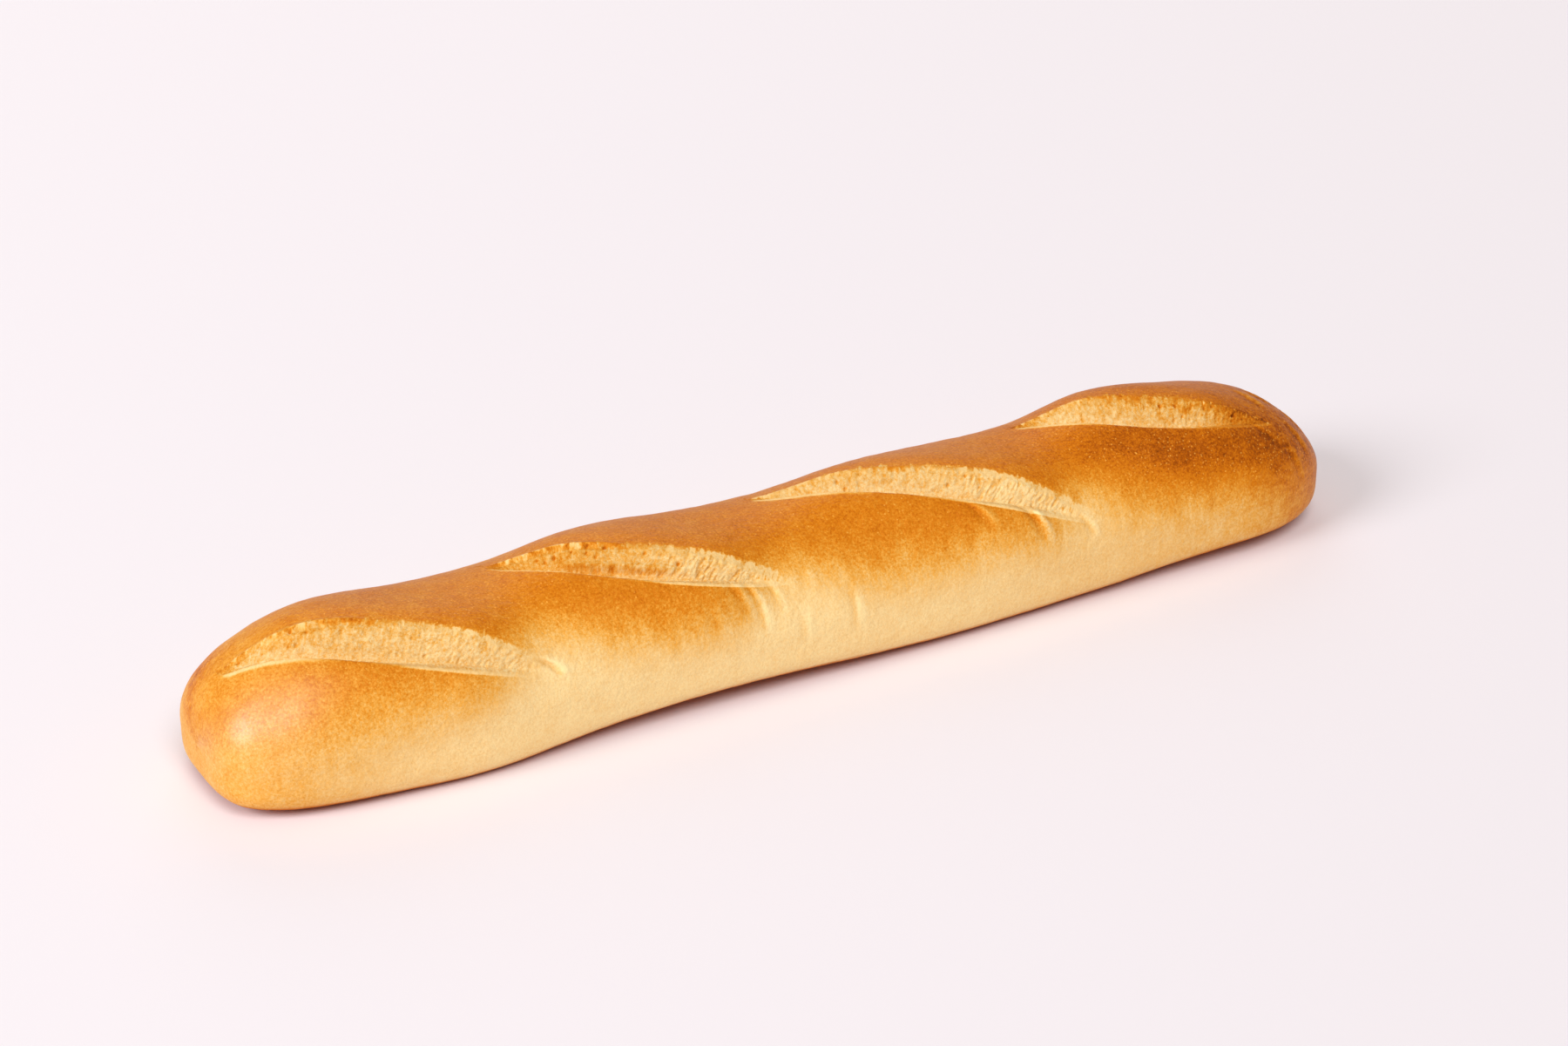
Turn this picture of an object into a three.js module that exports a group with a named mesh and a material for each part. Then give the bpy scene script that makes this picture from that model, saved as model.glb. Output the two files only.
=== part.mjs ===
// A soft white baguette with four slanting cuts, lying on its flat base.
// Millimetres, +Z up. The loaf runs along X, its cuts run from the back left to the front right.
import * as THREE from "three";

// Driving dimensions of the smooth loaf.
const LENGTH = 435;
const HALF_WIDTH = 36.6;
const HEIGHT = 48.8;
const WIDEST_HEIGHT = 18; // height of the loaf's widest line
const UPPER_ROUNDNESS = 2.15; // superellipse powers: 2 is an ellipse, more is boxier
const LOWER_ROUNDNESS = 4.6;
const BASE_CUT = 0.7; // how deep the flat base is pressed into the round underside

// How the section shrinks towards each end.
const LEFT_END = { length: 85, roundness: 3.8 };
const RIGHT_END = { length: 52, roundness: 2.4 };
const UPPER_TAPER = 1.5; // the top falls faster than the sides
const LOWER_TAPER = 0.58; // the underside rises slower
const TIP_SCALE = 1e-4;

// The underside lifts off its tray a little between the two ends and under the right one.
const ARCHES = [
  { x: -35, reach: 70, lift: 4 },
  { x: 170, reach: 45, lift: 3 },
];

// The cuts. x and around are measured on the skin rolled out flat: around runs from the top
// line, + towards the back. bow bends a cut towards the front, most before its middle where
// bowLean is under 1. width is its widest opening.
const SKIN_RADIUS = 37;
const CUTS = [
  { from: { x: -207.5, around: 6.5 }, to: { x: -105.5, around: -46.5 }, bow: 10.6, bowLean: 0.6, width: 16.3 },
  { from: { x: -109.5, around: 14.5 }, to: { x: -17.5, around: -37 }, bow: 13, bowLean: 0.72, width: 14.3 },
  { from: { x: -10, around: 15 }, to: { x: 104.5, around: -45.5 }, bow: 5.9, bowLean: 0.6, width: 13.9 },
  { from: { x: 97.5, around: 14 }, to: { x: 189.5, around: -25.5 }, bow: 11.5, bowLean: 0.93, width: 16 },
];
const OPENING_POWER = 0.8; // how blunt the pointed ends of an opening are
const FADE_SHARE = 0.3; // share of a cut over which its relief rises at each end
const LIP = { height: 3, reach: 15 }; // the rolled crust in front of an opening
const CREASE = { width: 3, share: 0.35, depth: 2.2 }; // the fold behind the lip
const RIDGE = { height: 4, reach: 17 }; // the raised crust behind an opening
const SLOPE_SHARE = 0.35; // how much of the torn band is a plain slope

// Where the dough swelled: shoulders between the cuts, and bellies low on the sides.
// turn is in degrees from the top, + towards the back.
const SWELLINGS = [
  { x: -172, turn: 25, reach: 32, height: 4.3 },
  { x: -66, turn: 25, reach: 32, height: 4.1 },
  { x: 48, turn: 25, reach: 32, height: 2.6 },
  { x: 140, turn: 25, reach: 32, height: 5 },
  { x: -130, turn: -125, reach: 36, height: 3.6 },
  { x: 25, turn: -125, reach: 75, height: 2.8 },
  { x: -80, turn: 120, reach: 60, height: 3 },
  { x: 90, turn: 115, reach: 60, height: 3.5 },
];
const SWELLING_TURN = 45; // degrees that a swelling reaches around the loaf

// The mesh: rings along the loaf, closer at both ends, each turned a little more than the
// last so that the lines from ring to ring run along the cuts.
const RINGS = 67;
const SIDES = 72;
const RING_TWIST = THREE.MathUtils.degToRad(-0.74); // per millimetre of length
const END_SPACING = 1.6; // the rings' crowding towards both ends

const CRUST_COLOUR = 0xc98f4e;

const { clamp, euclideanModulo, radToDeg, smoothstep } = THREE.MathUtils;
const bell = (distance, reach) => Math.exp(-((distance / reach) ** 2));

// Scale of the section at x: 1 along the body, 0 at both tips.
function sectionScale(x) {
  const endScale = (distance, { length, roundness }) => {
    const along = clamp(distance / length, 0, 1);
    return (1 - (1 - along) ** roundness) ** (1 / roundness);
  };
  return endScale(x + LENGTH / 2, LEFT_END) * endScale(LENGTH / 2 - x, RIGHT_END);
}

// Distance of the smooth skin from the loaf's middle line, at a turn from the top.
function smoothRadius(x, turn) {
  const scale = Math.max(sectionScale(x), TIP_SCALE);
  const arch = ARCHES.reduce((sum, { x: top, reach, lift }) => sum + lift * bell(x - top, reach), 0);
  const upper = (HEIGHT - WIDEST_HEIGHT) * scale ** UPPER_TAPER;
  const lower = (WIDEST_HEIGHT + BASE_CUT - arch) * scale ** LOWER_TAPER;
  const up = Math.cos(turn) > 0;
  const tall = Math.abs(Math.cos(turn)) / (up ? upper : lower);
  const wide = Math.abs(Math.sin(turn)) / (HALF_WIDTH * scale);
  const power = up ? UPPER_ROUNDNESS : LOWER_ROUNDNESS;
  return (tall ** power + wide ** power) ** (-1 / power);
}

// Height of the swollen dough over the smooth skin.
function swelling(x, turn) {
  const degrees = radToDeg(turn);
  const heights = SWELLINGS.map((swell) => {
    const away = euclideanModulo(degrees - swell.turn + 180, 360) - 180;
    return swell.height * bell(x - swell.x, swell.reach) * bell(away, SWELLING_TURN);
  });
  return sectionScale(x) * heights.reduce((sum, height) => sum + height, 0);
}

// Height of one cut's relief: lip, crease, sloping torn band and ridge, front to back.
function cutRelief(cut, x, around) {
  const run = new THREE.Vector2(cut.to.x - cut.from.x, cut.to.around - cut.from.around);
  const length = run.length();
  run.normalize();
  const point = new THREE.Vector2(x - cut.from.x, around - cut.from.around);
  const along = clamp(point.dot(run) / length, 0, 1);
  const bent = along ** cut.bowLean;
  const across = run.cross(point) + cut.bow * 4 * bent * (1 - bent);
  const width = cut.width * Math.sin(Math.PI * along) ** OPENING_POWER;
  const strength = smoothstep(Math.min(along, 1 - along), 0, FADE_SHARE);
  const lip = LIP.height * strength;
  const crease = CREASE.depth * strength;
  const ridge = RIDGE.height * strength;
  const creaseWidth = Math.min(CREASE.width, CREASE.share * width);
  if (across < 0) return lip * bell(across, LIP.reach);
  if (across < creaseWidth) return lip - (lip + crease) * smoothstep(across, 0, creaseWidth);
  if (across > width) return ridge * bell(across - width, RIDGE.reach);
  const up = (across - creaseWidth) / (width - creaseWidth);
  return -crease + (crease + ridge) * (SLOPE_SHARE * up + (1 - SLOPE_SHARE) * smoothstep(up, 0, 1));
}

// A point of the skin. The base is cut flat at z = 0.
function skinPoint(x, turn) {
  const around = SKIN_RADIUS * turn;
  const relief = CUTS.reduce((sum, cut) => sum + cutRelief(cut, x, around), 0);
  const radius = smoothRadius(x, turn) + swelling(x, turn) + relief;
  const z = WIDEST_HEIGHT + radius * Math.cos(turn);
  return new THREE.Vector3(x, radius * Math.sin(turn), Math.max(z, 0));
}

// Rings' places along the loaf, crowded towards both tips.
function ringPlaces() {
  return Array.from({ length: RINGS }, (_, ring) => {
    const share = (2 * (ring + 1)) / (RINGS + 1) - 1;
    const eased = Math.sign(share) * (1 - (1 - Math.abs(share)) ** END_SPACING);
    return (LENGTH / 2) * eased;
  });
}

// The closed skin: a tip, the rings, and a tip.
function loafGeometry() {
  const points = [new THREE.Vector3(-LENGTH / 2, 0, WIDEST_HEIGHT)];
  for (const x of ringPlaces()) {
    for (let side = 0; side < SIDES; side += 1) {
      const turned = (2 * Math.PI * side) / SIDES + RING_TWIST * x;
      const turn = euclideanModulo(turned + Math.PI, 2 * Math.PI) - Math.PI;
      points.push(skinPoint(x, turn));
    }
  }
  points.push(new THREE.Vector3(LENGTH / 2, 0, WIDEST_HEIGHT));

  const corner = (ring, side) => 1 + ring * SIDES + (side % SIDES);
  const last = points.length - 1;
  const triangles = [];
  for (let side = 0; side < SIDES; side += 1) {
    triangles.push(0, corner(0, side), corner(0, side + 1));
    triangles.push(last, corner(RINGS - 1, side + 1), corner(RINGS - 1, side));
    for (let ring = 0; ring < RINGS - 1; ring += 1) {
      const near = corner(ring, side);
      const nearNext = corner(ring, side + 1);
      const far = corner(ring + 1, side);
      const farNext = corner(ring + 1, side + 1);
      triangles.push(near, far, farNext, near, farNext, nearNext);
    }
  }

  const geometry = new THREE.BufferGeometry().setFromPoints(points);
  geometry.setIndex(triangles);
  geometry.computeBoundingBox();
  const middle = geometry.boundingBox.getCenter(new THREE.Vector3());
  geometry.translate(-middle.x, -middle.y, 0);
  geometry.computeVertexNormals();
  return geometry;
}

function loaf() {
  const crust = new THREE.MeshStandardMaterial({ color: CRUST_COLOUR, roughness: 0.7, metalness: 0 });
  const mesh = new THREE.Mesh(loafGeometry(), crust);
  mesh.name = "loaf";
  return mesh;
}

const baguette = new THREE.Group();
baguette.add(loaf());

export default baguette;
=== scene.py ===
# %% [markdown]
# # A soft wheat baguette, step by step
#
# The loaf is one piece of baked dough: a smooth stick with blunt ends, swollen between
# four slanting cuts, torn open along them, and browned on top. The packed model gives
# its plain solid. Here the same rule of shape is laid on a much finer skin, which then
# gets its torn crumb, folds and baked colours.

# %% The frame and the loaf's own millimetre
import math
import bmesh
import bpy
import numpy as np
from mathutils import Matrix, Vector


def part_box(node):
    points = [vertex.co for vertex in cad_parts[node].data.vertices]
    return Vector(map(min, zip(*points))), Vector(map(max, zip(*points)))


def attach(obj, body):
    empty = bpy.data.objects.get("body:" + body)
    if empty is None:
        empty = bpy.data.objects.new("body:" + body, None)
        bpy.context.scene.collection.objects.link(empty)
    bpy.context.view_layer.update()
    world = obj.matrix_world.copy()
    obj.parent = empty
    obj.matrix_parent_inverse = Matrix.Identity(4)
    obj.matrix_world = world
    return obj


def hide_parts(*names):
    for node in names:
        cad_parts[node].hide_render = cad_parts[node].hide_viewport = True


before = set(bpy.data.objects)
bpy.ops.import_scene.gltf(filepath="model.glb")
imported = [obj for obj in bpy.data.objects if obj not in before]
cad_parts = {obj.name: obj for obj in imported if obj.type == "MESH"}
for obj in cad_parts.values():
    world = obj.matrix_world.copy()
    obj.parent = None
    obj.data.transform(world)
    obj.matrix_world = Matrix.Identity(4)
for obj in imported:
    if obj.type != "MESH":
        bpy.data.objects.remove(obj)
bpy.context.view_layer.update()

low, high = (Vector(corner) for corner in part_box("loaf"))
LENGTH = 435
mm = (high.x - low.x) / LENGTH
middle_y = (low.y + high.y) / 2
print("loaf box, mm:", [round(side / mm, 1) for side in high - low])

# %% [markdown]
# ## The smooth stick
#
# A baker rolls the dough into a stick and sets it down, so every section across it is a
# rounded D: a wide flat-bottomed lower half and a domed upper half. One formula, the
# superellipse, draws both: a power of 2 gives an ellipse and a higher power a boxier
# form. Towards each end the section shrinks, blunt on the left and rounder on the right.
# The underside lifts off its tray in two low arches, in the middle and under the right
# end. Writing the skin as a function of two numbers, the place `x` along the loaf and
# the `turn` around it, means that every later step can ask for any point of it.

# %% Sizes of the smooth stick, in millimetres
def table(names, rows):
    """Rows of values, each made a dictionary with the names of its columns."""
    return [dict(zip(names, row)) for row in rows]


HALF_WIDTH = 36.6
HEIGHT = 48.8
WIDEST_HEIGHT = 18.0  # height of the widest line above the base
UPPER_ROUNDNESS = 2.15
LOWER_ROUNDNESS = 4.6
BASE_CUT = 0.7  # how deep the flat base is pressed into the round underside
UPPER_TAPER = 1.5  # towards the ends the top falls faster than the sides
LOWER_TAPER = 0.58  # and the underside rises slower
TIP_SCALE = 1e-4  # keeps the section from shrinking to nothing at the tips
ENDS = table(("side", "length", "roundness"), [(-1, 85.0, 3.8), (1, 52.0, 2.4)])
ARCHES = table(("x", "reach", "lift"), [(-35.0, 70.0, 4.0), (170.0, 45.0, 3.0)])
print("loaf without its relief, mm:", LENGTH, "by", 2 * HALF_WIDTH, "by", HEIGHT)

# %% The smooth skin
def bell(distance, reach):
    """1 at distance 0, falling softly to 0 on both sides."""
    return np.exp(-np.square(distance / reach))


def ease(value, start=0.0, stop=1.0):
    """A smooth rise from 0 to 1 as value goes from start to stop."""
    share = np.clip((value - start) / (stop - start), 0, 1)
    return share * share * (3 - 2 * share)


def section_scale(x):
    """Size of the section at x: 1 along the body, 0 at both tips."""
    scale = np.ones_like(x)
    for end in ENDS:
        along = np.clip((LENGTH / 2 - end["side"] * x) / end["length"], 0, 1)
        scale = scale * (1 - (1 - along) ** end["roundness"]) ** (1 / end["roundness"])
    return scale


def smooth_radius(x, turn):
    """Distance of the smooth skin from the middle line."""
    scale = np.maximum(section_scale(x), TIP_SCALE)
    arch = sum(arch["lift"] * bell(x - arch["x"], arch["reach"]) for arch in ARCHES)
    up = np.cos(turn) > 0
    upper = (HEIGHT - WIDEST_HEIGHT) * scale**UPPER_TAPER
    lower = (WIDEST_HEIGHT + BASE_CUT - arch) * scale**LOWER_TAPER
    tall = np.abs(np.cos(turn)) / np.where(up, upper, lower)
    wide = np.abs(np.sin(turn)) / (HALF_WIDTH * scale)
    power = np.where(up, UPPER_ROUNDNESS, LOWER_ROUNDNESS)
    return (tall**power + wide**power) ** (-1 / power)


print("skin above its middle line, mm:", smooth_radius(np.zeros(1), 0.0).round(1)[0])

# %% [markdown]
# ## Where the dough swelled
#
# In the oven the dough rises most between the cuts, which gives the stick its row of
# shoulders, and it sags into soft bellies low on its sides. Each swelling is a bell
# curve laid on the skin, so they melt into one another like the real ones. The same
# soft patch serves later for darker crust and for gloss, with another peak.

# %% Swellings, in millimetres and degrees from the top line, + towards the back
PATCH = ("x", "turn", "reach", "turn_reach", "peak")
SWELLINGS = table(PATCH, [
    (-172, 25, 32, 45, 4.3),
    (-66, 25, 32, 45, 4.1),
    (48, 25, 32, 45, 2.6),
    (140, 25, 32, 45, 5.0),
    (-130, -125, 36, 45, 3.6),
    (25, -125, 75, 45, 2.8),
    (-80, 120, 60, 45, 3.0),
    (90, 115, 60, 45, 3.5),
])


def turn_from(turn, degrees):
    """Degrees from a line along the loaf to a turn, the short way round."""
    return (np.degrees(turn) - degrees + 180) % 360 - 180


def soft_patch(patch, x, turn):
    """A patch of the skin: its peak value in the middle, falling to 0 all round."""
    aside = bell(turn_from(turn, patch["turn"]), patch["turn_reach"])
    return patch["peak"] * bell(x - patch["x"], patch["reach"]) * aside


def swelling(x, turn):
    """Height of the swollen dough over the smooth skin."""
    return section_scale(x) * sum(soft_patch(swell, x, turn) for swell in SWELLINGS)


print(len(SWELLINGS), "swellings")

# %% [markdown]
# ## The four cuts
#
# Each cut starts near the top line and runs slanting down the front. Across it, from
# front to back, come a rolled lip of crust, a tight crease behind the lip, the pale torn
# crumb that slopes up, and the raised crust behind. It is easiest to draw this on the
# skin rolled out flat, where `around` is the distance from the top line. A bow bends the
# cut, and its opening is widest in the middle, or nearer the start where `bow_lean` and
# `lean` are under 1.
#
# No two cuts tear alike, so each also says how it tore and baked; a pair is the values
# at its start and stop. `crumb` is how baked the crumb is, and `rim` how much more so
# against the crust behind. `fibres` is how far the crumb near the stop is drawn out, and
# `ear` how far the crust behind the start stands up as a thin broken edge. `young` is
# the width of pale crust in front of the start and behind the stop, `fade` the share of
# the cut that takes the colour of the crust, and `tail` where the opening starts to close.

# %% Sizes of the cuts, in millimetres
SKIN_RADIUS = 37.0
CUTS = [
    {"start": (-207.5, 6.5), "stop": (-105.5, -46.5), "bow": 10.6, "bow_lean": 0.6,
     "width": 16.3, "lean": 0.86, "fibres": 0.5, "ear": 0.9, "tail": 0.80,
     "crumb": (0.17, 0.17), "rim": (0.28, 0.10), "young": (3.0, 3.5), "fade": (0.12, 0.10)},
    {"start": (-109.5, 14.5), "stop": (-17.5, -37), "bow": 13.0, "bow_lean": 0.72,
     "width": 14.3, "lean": 0.86, "fibres": 1.0, "ear": 1.0, "tail": 0.80,
     "crumb": (0.38, 0.20), "rim": (0.20, 0.14), "young": (0.5, 5.0), "fade": (0.12, 0.10)},
    {"start": (-10, 15), "stop": (104.5, -45.5), "bow": 5.9, "bow_lean": 0.6,
     "width": 13.9, "lean": 0.98, "fibres": 1.0, "ear": 0.3, "tail": 0.80,
     "crumb": (0.15, 0.16), "rim": (0.16, 0.12), "young": (2.8, 4.5), "fade": (0.12, 0.10)},
    {"start": (97.5, 14), "stop": (189.5, -25.5), "bow": 11.5, "bow_lean": 0.93,
     "width": 16.0, "lean": 1.0, "fibres": 0.35, "ear": 0.3, "tail": 0.97,
     "crumb": (0.14, 0.26), "rim": (0.28, 0.5), "young": (2.0, 1.0), "fade": (0.14, 0.36)},
]
OPENING_POWER = 0.8  # how blunt the pointed ends of an opening are
FADE_SHARE = 0.3  # share of a cut over which its relief rises at each end
LIP_HEIGHT, LIP_REACH = 3.0, 15.0
CREASE_WIDTH, CREASE_SHARE, CREASE_DEPTH = 3.0, 0.35, 2.2
RIDGE_HEIGHT, RIDGE_REACH = 4.0, 17.0
SLOPE_SHARE = 0.35  # how much of the torn crumb is a plain slope
LATE_PART = (0.4, 0.75)  # shares of a cut between which it takes on the look of its stop
CREASE_FADING = 0.7  # how much of the crease is lost in that part
EAR_HEIGHT = 0.5
EAR_RISE, EAR_FALL = (0.0, 0.1), (0.35, 0.5)  # shares of a cut
EAR_CREST_PLACE, EAR_CREST_WIDTH = 0.8, 1.0  # behind the opening
EAR_GAP_PLACE, EAR_GAP_WIDTH = -0.9, 0.8
TINY = 1e-6
print(len(CUTS), "cuts, opening up to", max(cut["width"] for cut in CUTS), "mm")

# %% The relief of a cut
def along_cut(cut, x, around):
    """Share along a cut, distance behind its lip, opening there, and distance past its ends."""
    start = np.array(cut["start"], float)
    run = np.array(cut["stop"], float) - start
    length = np.hypot(*run)
    step_x, step_around = run / length
    share = ((x - start[0]) * step_x + (around - start[1]) * step_around) / length
    kept = np.clip(share, 0, 1)
    across = (around - start[1]) * step_x - (x - start[0]) * step_around
    bent = kept ** cut["bow_lean"]
    across = across + cut["bow"] * 4 * bent * (1 - bent)
    opening = cut["width"] * np.sin(np.pi * kept ** cut["lean"]) ** OPENING_POWER
    past = np.maximum(-share, share - 1) * length
    return share, across, opening, past


def outside_opening(across, opening, past):
    """Distance outside an opening, negative inside it."""
    return np.maximum.reduce([-across, across - opening, past])


def ear_strength(cut, share):
    """How far the crust behind the start of a cut stands up as a thin broken edge."""
    return cut["ear"] * ease(share, *EAR_RISE) * (1 - ease(share, *EAR_FALL))


def cut_relief(cut, x, around):
    """Lip, crease, torn slope and ridge of one cut, as heights over the skin."""
    share, across, opening, _ = along_cut(cut, x, around)
    kept = np.clip(share, 0, 1)
    strength = ease(np.minimum(kept, 1 - kept), 0, FADE_SHARE)
    lip, crease, ridge = (strength * size for size in (LIP_HEIGHT, CREASE_DEPTH, RIDGE_HEIGHT))
    crease = crease * (1 - CREASE_FADING * ease(share, *LATE_PART))
    crease_width = np.minimum(CREASE_WIDTH, CREASE_SHARE * opening) + TINY
    front = lip * bell(across, LIP_REACH)
    drop = lip - (lip + crease) * ease(across / crease_width)
    up = np.clip((across - crease_width) / np.maximum(opening - crease_width, TINY), 0, 1)
    slope = -crease + (crease + ridge) * (SLOPE_SHARE * up + (1 - SLOPE_SHARE) * ease(up))
    behind = across - opening
    ear_crest = bell(behind - EAR_CREST_PLACE, EAR_CREST_WIDTH)
    ear_gap = bell(behind - EAR_GAP_PLACE, EAR_GAP_WIDTH)
    ear = ear_strength(cut, share) * (ear_crest - ear_gap)
    places = [across < 0, across < crease_width, across < opening]
    heights = [front, drop, slope]
    return np.select(places, heights, ridge * bell(behind, RIDGE_REACH)) + EAR_HEIGHT * ear


print("relief of a cut, mm:", -CREASE_DEPTH, "to", RIDGE_HEIGHT)

# %% [markdown]
# ## Folds in the crust
#
# Where a cut ends, the crust beside it was stretched and puckered. A fold is a narrow
# groove with a little ridge beside it, along a curved line on the skin. Both fade in
# and out along their length. A ledge is a step in the torn crumb, where it tore twice:
# a low crest with a gap in front of it. Both are bell curves laid across a line.

# %% Folds; start and stop are x in millimetres and degrees from the top line
FOLDS = table(("start", "stop", "bow", "depth", "width"), [
    ((-112, -60), (-104, -73), 1.5, 0.7, 1.5),
    ((-40, -46), (-34, -70), 1.0, 0.4, 1.6),
    ((-33, -50), (-29, -82), 1.5, 0.6, 1.3),
    ((-50, -50), (-47, -75), 1.0, 0.25, 1.8),
    ((-25, -52), (-22, -74), 1.0, 0.3, 1.3),
    ((-15, -72), (-14, -92), 0.0, 0.35, 1.3),
    ((5, -66), (6, -92), 0.0, 0.45, 1.3),
    ((-10, -48), (-10, -64), 0.0, 0.25, 1.5),
    ((56, -40), (63, -60), 1.5, 0.6, 1.5),
    ((75, -46), (83, -75), 2.0, 1.0, 1.6),
    ((98, -62), (103, -78), 1.0, 0.3, 1.4),
    ((178, -34), (190, -62), 2.0, 0.4, 1.3),
    ((196, -32), (203, -72), 1.0, 0.5, 1.2),
    ((189, -46), (196, -84), 1.0, 0.5, 1.3),
    ((201, -8), (208, -54), 1.0, 0.5, 1.1),
    ((192, 18), (200, -22), 1.0, 0.5, 1.3),
    ((186, 6), (192, -26), 1.0, 0.6, 1.2),
])
FOLD_RIDGE = 0.8  # height of the ridge, as a share of the groove's depth
RIDGE_OFFSET = 1.6  # from groove to ridge, in widths
LEDGE_CUT = CUTS[1]
LEDGE_START, LEDGE_STOP, LEDGE_FADING = 0.2, 0.72, 0.15  # shares along the cut
LEDGE_ACROSS = 0.53  # share of the opening
LEDGE_HEIGHT, LEDGE_WIDTH = 1.0, 1.1
LEDGE_GAP = {"place": 1.7, "width": 0.8, "depth": 0.8}  # as shares of the crest's sizes
print(len(FOLDS), "folds and a ledge")

# %% The skin with all its relief
def fold_place(fold, turn):
    """Share along a fold and its x at a turn."""
    start_x, start_turn = fold["start"]
    stop_x, stop_turn = fold["stop"]
    share = np.clip(turn_from(turn, start_turn) / (stop_turn - start_turn), 0, 1)
    line_x = start_x + (stop_x - start_x) * share + fold["bow"] * 4 * share * (1 - share)
    return share, line_x


def fold_relief(fold, x, turn):
    """Height of one fold over the skin: its ridge less its groove."""
    share, line_x = fold_place(fold, turn)
    fading = np.sin(np.pi * share)
    aside = (x - line_x) / fold["width"]
    groove = bell(aside, 1)
    ridge = FOLD_RIDGE * bell(aside - RIDGE_OFFSET, 1)
    return fold["depth"] * fading * (ridge - groove)


def ledge_place(x, around):
    """How strong the crumbly ledge is here, and the distance behind its crest."""
    share, across, opening, _ = along_cut(LEDGE_CUT, x, around)
    strength = ease(share, LEDGE_START, LEDGE_START + LEDGE_FADING)
    strength = strength * (1 - ease(share, LEDGE_STOP - LEDGE_FADING, LEDGE_STOP))
    return strength, across - LEDGE_ACROSS * opening


def ledge_relief(x, around):
    """Height of the ledge over the torn slope."""
    strength, behind = ledge_place(x, around)
    crest = bell(behind, LEDGE_WIDTH)
    gap = bell(behind + LEDGE_GAP["place"] * LEDGE_WIDTH, LEDGE_GAP["width"] * LEDGE_WIDTH)
    return LEDGE_HEIGHT * strength * (crest - LEDGE_GAP["depth"] * gap)


def skin_radius(x, turn):
    """Distance of the skin from the middle line, with all its relief."""
    around = SKIN_RADIUS * turn
    radius = smooth_radius(x, turn) + swelling(x, turn)
    radius += sum(cut_relief(cut, x, around) for cut in CUTS)
    radius += sum(fold_relief(fold, x, turn) for fold in FOLDS)
    return radius + ledge_relief(x, around)


def skin_points(x, turn):
    """Points of the skin, in millimetres, with the base cut flat."""
    radius = skin_radius(x, turn)
    height = np.maximum(WIDEST_HEIGHT + radius * np.cos(turn), 0)
    return np.stack([x, radius * np.sin(turn), height], axis=-1)


print("top of the skin in the middle, mm:", skin_points(np.zeros(1), np.zeros(1)).round(1)[0])

# %% [markdown]
# ## A skin with more faces where it needs them
#
# The skin starts as a tube of rings. Rings at even steps in x would be far apart on the
# blunt ends, so they are spaced evenly along the profile instead. The torn cuts carry
# detail under a millimetre, so the faces there are divided again, and the smooth crust
# stays coarse. The tube is divided while it is still a plain cylinder of radius 1: the
# place and turn of every new corner can be read straight from it.

# %% The tube of rings, divided finely at the cuts
RINGS = 318
SIDES = 152
FINE_CUTS = 3  # how many times an edge near a cut is divided
FINE_MARGIN = 3.0  # how far outside an opening the fine faces reach, mm
PROFILE_STEPS = 20001
TIP_RADIUS = 1e-3  # just off the middle line, so that the turn of a tip is 0


def opening_distance(x, around):
    """Distance outside the nearest opening, in millimetres, negative inside it."""
    places = (along_cut(cut, x, around) for cut in CUTS)
    return np.minimum.reduce([outside_opening(*place[1:]) for place in places])


def ring_places():
    """Places of the rings, at even steps along the outline seen from above."""
    profile_x = LENGTH / 2 * np.sin(np.linspace(-math.pi / 2, math.pi / 2, PROFILE_STEPS))
    profile_y = HALF_WIDTH * section_scale(profile_x)
    walked = np.concatenate([[0], np.cumsum(np.hypot(np.diff(profile_x), np.diff(profile_y)))])
    return np.interp(np.linspace(0, walked[-1], RINGS + 2)[1:-1], walked, profile_x)


def tube_of_rings():
    """A cylinder of radius 1, closed by a fan of triangles at each end."""
    tube = bmesh.new()
    angles = np.linspace(-math.pi, math.pi, SIDES, endpoint=False)
    rings = [
        [tube.verts.new((x, math.sin(angle), math.cos(angle))) for angle in angles]
        for x in ring_places()
    ]
    tips = [tube.verts.new((end["side"] * LENGTH / 2, 0, TIP_RADIUS)) for end in ENDS]
    for side in range(SIDES):
        after = (side + 1) % SIDES
        tube.faces.new((tips[0], rings[0][side], rings[0][after]))
        tube.faces.new((tips[1], rings[-1][after], rings[-1][side]))
        for near, far in zip(rings, rings[1:]):
            tube.faces.new((near[side], far[side], far[after], near[after]))
    return tube


tube = tube_of_rings()
print("tube of", len(tube.faces), "faces")

# %% More faces at the cuts
middles = np.array([face.calc_center_median()[:] for face in tube.faces])
turns = np.arctan2(middles[:, 1], middles[:, 2])
near_cut = opening_distance(middles[:, 0], SKIN_RADIUS * turns) < FINE_MARGIN
torn_faces = [face for face, near in zip(tube.faces, near_cut) if near]
torn_edges = list({edge for face in torn_faces for edge in face.edges})
bmesh.ops.subdivide_edges(tube, edges=torn_edges, cuts=FINE_CUTS, use_grid_fill=True)
bmesh.ops.triangulate(tube, faces=[face for face in tube.faces if len(face.verts) > 4])
loaf_mesh = bpy.data.meshes.new("loaf_crust")
tube.to_mesh(loaf_mesh)
tube.free()
print("now", len(loaf_mesh.polygons), "faces")

# %% The skin laid on the tube
def vectors(collection, name):
    """One vector for each corner, read into an array."""
    numbers = np.empty(len(collection) * 3)
    collection.foreach_get(name, numbers)
    return numbers.reshape(-1, 3)


corners = vectors(loaf_mesh.vertices, "co")
place_x = corners[:, 0]
place_turn = np.arctan2(corners[:, 1], corners[:, 2])
place_around = SKIN_RADIUS * place_turn
skin = skin_points(place_x, place_turn) * mm + np.array([0, middle_y, 0])
loaf_mesh.vertices.foreach_set("co", skin.ravel())
loaf_mesh.polygons.foreach_set("use_smooth", [True] * len(loaf_mesh.polygons))
loaf_mesh.update()
triangles = sum(len(face.vertices) - 2 for face in loaf_mesh.polygons)
print(len(skin), "corners,", triangles, "triangles")

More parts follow.
